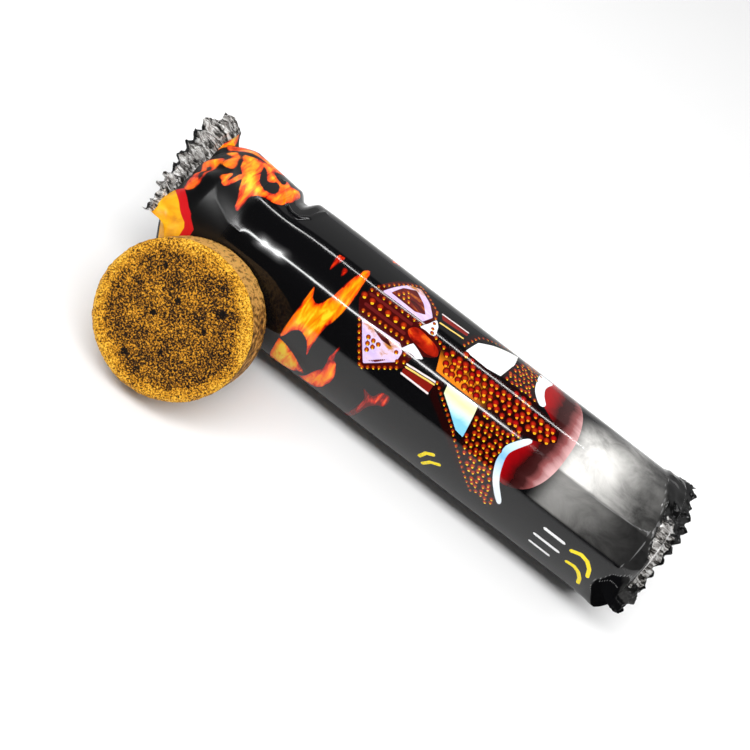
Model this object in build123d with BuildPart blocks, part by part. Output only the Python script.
"""A roll of quick-light charcoal tablets: nine in a crimped foil wrapper, one leaning on it.

Row frame: X runs along the roll, -Y is the side the loose tablet leans on, +Z is up.
The origin is on the table, under the middle of the wrapper, at the flat of its back seam.
"""
import os
from math import cos, hypot, radians, sin

from build123d import *

os.makedirs("parts", exist_ok=True)

# ---- driving dimensions (mm, degrees) ----
# Pressed charcoal tablet
TABLET_RADIUS = 16.5
TABLET_THICKNESS = 12.6
RIM_BEVEL = 0.8
DISH_RADIUS = 14.4
DISH_DEPTH = 0.35
DISH_TAPER = 45

# Column of eight square-standing tablets, counted from the full end (+X)
COLUMN_TABLETS = 8
FULL_END_X = 61.9
TABLET_GAP = 0.06

# The ninth tablet sits in the slack of the missing tenth, its top leaning towards +X
NINTH_TABLET_X = -52.0
NINTH_TABLET_RISE = 0.35
NINTH_TABLET_TILT = 6.0

# Foil wrapper
FILM = 0.3
FILM_CLEARANCE = 0.1
SLEEVE_LEFT_X = -43.0
SLEEVE_RIGHT_X = 62.0
SLACK_FULL_X = -47.0
SLACK_END_X = -60.4
SLACK_HALF_WIDTH = 17.05
SLACK_HALF_HEIGHT = 17.4
LEFT_CRIMP_X = -65.0
RIGHT_CRIMP_X = 65.0
LEFT_FIN_WIDTH = 42.0
RIGHT_FIN_WIDTH = 49.0
LEFT_FIN_LENGTH = 7.0
RIGHT_FIN_LENGTH = 5.5
LEFT_FIN_Z = 24.0
RIGHT_FIN_Z = 18.5
FIN_THICKNESS = 0.8
CRIMP_RIB_PITCH = 1.1
CRIMP_RIB_HEIGHT = 0.25
TOOTH_PITCH = 3.9
TOOTH_DEPTH = 1.3

# Back seam, folded flat under the roll
SEAM_WIDTH = 10.0
SEAM_THICKNESS = 0.3

# Loose tablet
LOOSE_TABLET_X = -45.0
LOOSE_TABLET_LEAN = 56.0
LEAN_CLEARANCE = 0.05

# ---- derived dimensions ----
sleeve_inner_radius = TABLET_RADIUS + FILM_CLEARANCE
sleeve_outer_radius = sleeve_inner_radius + FILM
axis_z = SEAM_THICKNESS + sleeve_outer_radius


def cross_plane(x, z):
    """Plane square to the roll at x, with its own X along +Y and its own Y up."""
    return Plane(origin=(x, 0, z), x_dir=(0, 1, 0), z_dir=(1, 0, 0))


def make_tablet(name, back_plane):
    """One pressed tablet standing on back_plane, with bevelled rims and a shallow dish in each face."""
    front_plane = back_plane.offset(TABLET_THICKNESS)
    with BuildPart() as tablet:
        with BuildSketch(back_plane):
            Circle(TABLET_RADIUS)
        extrude(amount=TABLET_THICKNESS)
        chamfer(tablet.edges().filter_by(GeomType.CIRCLE), length=RIM_BEVEL)
        with BuildSketch(back_plane):
            Circle(DISH_RADIUS)
        extrude(amount=DISH_DEPTH, taper=DISH_TAPER, mode=Mode.SUBTRACT)
        with BuildSketch(front_plane):
            Circle(DISH_RADIUS)
        extrude(amount=-DISH_DEPTH, taper=DISH_TAPER, mode=Mode.SUBTRACT)
    tablet.part.label = name
    export_step(tablet.part, f"parts/{name}.step")


def make_closing_film(name, sections):
    """The film between the round sleeve and a flat crimp: a thin wall, open at both ends.

    Each section is (x, centre height, half width, half height) of the film's outer surface.
    """
    with BuildPart() as closing_film:
        for x, centre_z, half_width, half_height in sections:
            with BuildSketch(cross_plane(x, centre_z)):
                Ellipse(half_width, half_height)
        loft(ruled=True)
        for x, centre_z, half_width, half_height in sections:
            with BuildSketch(cross_plane(x, centre_z)):
                Ellipse(half_width - FILM, half_height - FILM)
        loft(ruled=True, mode=Mode.SUBTRACT)
    closing_film.part.label = name
    export_step(closing_film.part, f"parts/{name}.step")


def toothed_outline(crimp_x, tip_x, width):
    """Corner points of a fin seen from above, with saw teeth along its tip."""
    tooth_count = round(width / TOOTH_PITCH)
    half_pitch = width / tooth_count / 2
    root_x = tip_x - TOOTH_DEPTH if tip_x > crimp_x else tip_x + TOOTH_DEPTH
    tip_edge = [
        (tip_x if step % 2 else root_x, -width / 2 + step * half_pitch)
        for step in range(2 * tooth_count + 1)
    ]
    return [(crimp_x, -width / 2), *tip_edge, (crimp_x, width / 2)]


def ribbed_outline(crimp_x, tip_x, z):
    """Corner points of a fin seen from the side: a plate pressed into fine ribs."""
    rib_steps = 2 * round(abs(tip_x - crimp_x) / CRIMP_RIB_PITCH)
    step_x = (tip_x - crimp_x) / rib_steps
    middle = [
        (crimp_x + step * step_x, z + (CRIMP_RIB_HEIGHT if step % 2 else 0))
        for step in range(rib_steps + 1)
    ]
    top = [(x, height + FIN_THICKNESS / 2) for x, height in middle]
    bottom = [(x, height - FIN_THICKNESS / 2) for x, height in reversed(middle)]
    return top + bottom


def make_fin(name, crimp_x, tip_x, width, z):
    """A crimped end seal: a ribbed plate with a sawn edge."""
    with BuildPart() as fin:
        with BuildSketch(Plane.XY.offset(z)):
            with BuildLine():
                Polyline(*toothed_outline(crimp_x, tip_x, width), close=True)
            make_face()
        extrude(amount=2 * FIN_THICKNESS, both=True)
        with BuildSketch(Plane.XZ):
            with BuildLine():
                Polyline(*ribbed_outline(crimp_x, tip_x, z), close=True)
            make_face()
        extrude(amount=width, both=True, mode=Mode.INTERSECT)
    fin.part.label = name
    export_step(fin.part, f"parts/{name}.step")


# ---- foil wrapper ----
with BuildPart() as wrapper_sleeve:
    with BuildSketch(cross_plane(SLEEVE_LEFT_X, axis_z)):
        Circle(sleeve_outer_radius)
        Circle(sleeve_inner_radius, mode=Mode.SUBTRACT)
    extrude(amount=SLEEVE_RIGHT_X - SLEEVE_LEFT_X)

wrapper_sleeve.part.label = "wrapper_sleeve"
export_step(wrapper_sleeve.part, "parts/wrapper_sleeve.step")

# The seam's top follows the sleeve, and its flat underside is what the roll stands on.
with BuildPart() as back_seam:
    with BuildSketch(cross_plane(SLEEVE_LEFT_X, axis_z)):
        Rectangle(SEAM_WIDTH, axis_z, align=(Align.CENTER, Align.MAX))
        Circle(sleeve_outer_radius, mode=Mode.SUBTRACT)
    extrude(amount=SLEEVE_RIGHT_X - SLEEVE_LEFT_X)

back_seam.part.label = "back_seam"
export_step(back_seam.part, "parts/back_seam.step")

crimp_half_height = FIN_THICKNESS / 2 + FILM / 3
make_closing_film(
    "slack_end_film",
    [
        (SLEEVE_LEFT_X, axis_z, sleeve_outer_radius, sleeve_outer_radius),
        (SLACK_FULL_X, axis_z + NINTH_TABLET_RISE, SLACK_HALF_WIDTH, SLACK_HALF_HEIGHT),
        (SLACK_END_X, axis_z + NINTH_TABLET_RISE, SLACK_HALF_WIDTH, SLACK_HALF_HEIGHT),
        (LEFT_CRIMP_X, LEFT_FIN_Z, LEFT_FIN_WIDTH / 2, crimp_half_height),
    ],
)
make_closing_film(
    "full_end_film",
    [
        (SLEEVE_RIGHT_X, axis_z, sleeve_outer_radius, sleeve_outer_radius),
        (RIGHT_CRIMP_X, RIGHT_FIN_Z, RIGHT_FIN_WIDTH / 2, crimp_half_height),
    ],
)
make_fin("slack_end_fin", LEFT_CRIMP_X, LEFT_CRIMP_X - LEFT_FIN_LENGTH, LEFT_FIN_WIDTH, LEFT_FIN_Z)
make_fin("full_end_fin", RIGHT_CRIMP_X, RIGHT_CRIMP_X + RIGHT_FIN_LENGTH, RIGHT_FIN_WIDTH, RIGHT_FIN_Z)

# ---- tablets in the wrapper, from the full end to the slack end ----
pitch = TABLET_THICKNESS + TABLET_GAP
for place in range(COLUMN_TABLETS):
    left_face_x = FULL_END_X - place * pitch - TABLET_THICKNESS
    make_tablet(f"tablet_{place + 1:02d}", cross_plane(left_face_x, axis_z))

tilt = radians(NINTH_TABLET_TILT)
ninth_middle = Plane(
    origin=(NINTH_TABLET_X, 0, axis_z + NINTH_TABLET_RISE),
    x_dir=(0, 1, 0),
    z_dir=(cos(tilt), 0, -sin(tilt)),
)
make_tablet("tablet_09", ninth_middle.offset(-TABLET_THICKNESS / 2))

# ---- loose tablet: its bevelled edge on the table, its back face against the slack end's film ----
lean = radians(LOOSE_TABLET_LEAN)
back_centre_z = TABLET_RADIUS * sin(lean) - RIM_BEVEL * cos(lean)
film_reach = hypot(SLACK_HALF_WIDTH * sin(lean), SLACK_HALF_HEIGHT * cos(lean))
face_distance = film_reach + NINTH_TABLET_RISE * cos(lean) + LEAN_CLEARANCE
back_centre_y = -(face_distance + (axis_z - back_centre_z) * cos(lean)) / sin(lean)
make_tablet(
    "loose_tablet",
    Plane(
        origin=(LOOSE_TABLET_X, back_centre_y, back_centre_z),
        x_dir=(1, 0, 0),
        z_dir=(0, -sin(lean), cos(lean)),
    ),
)
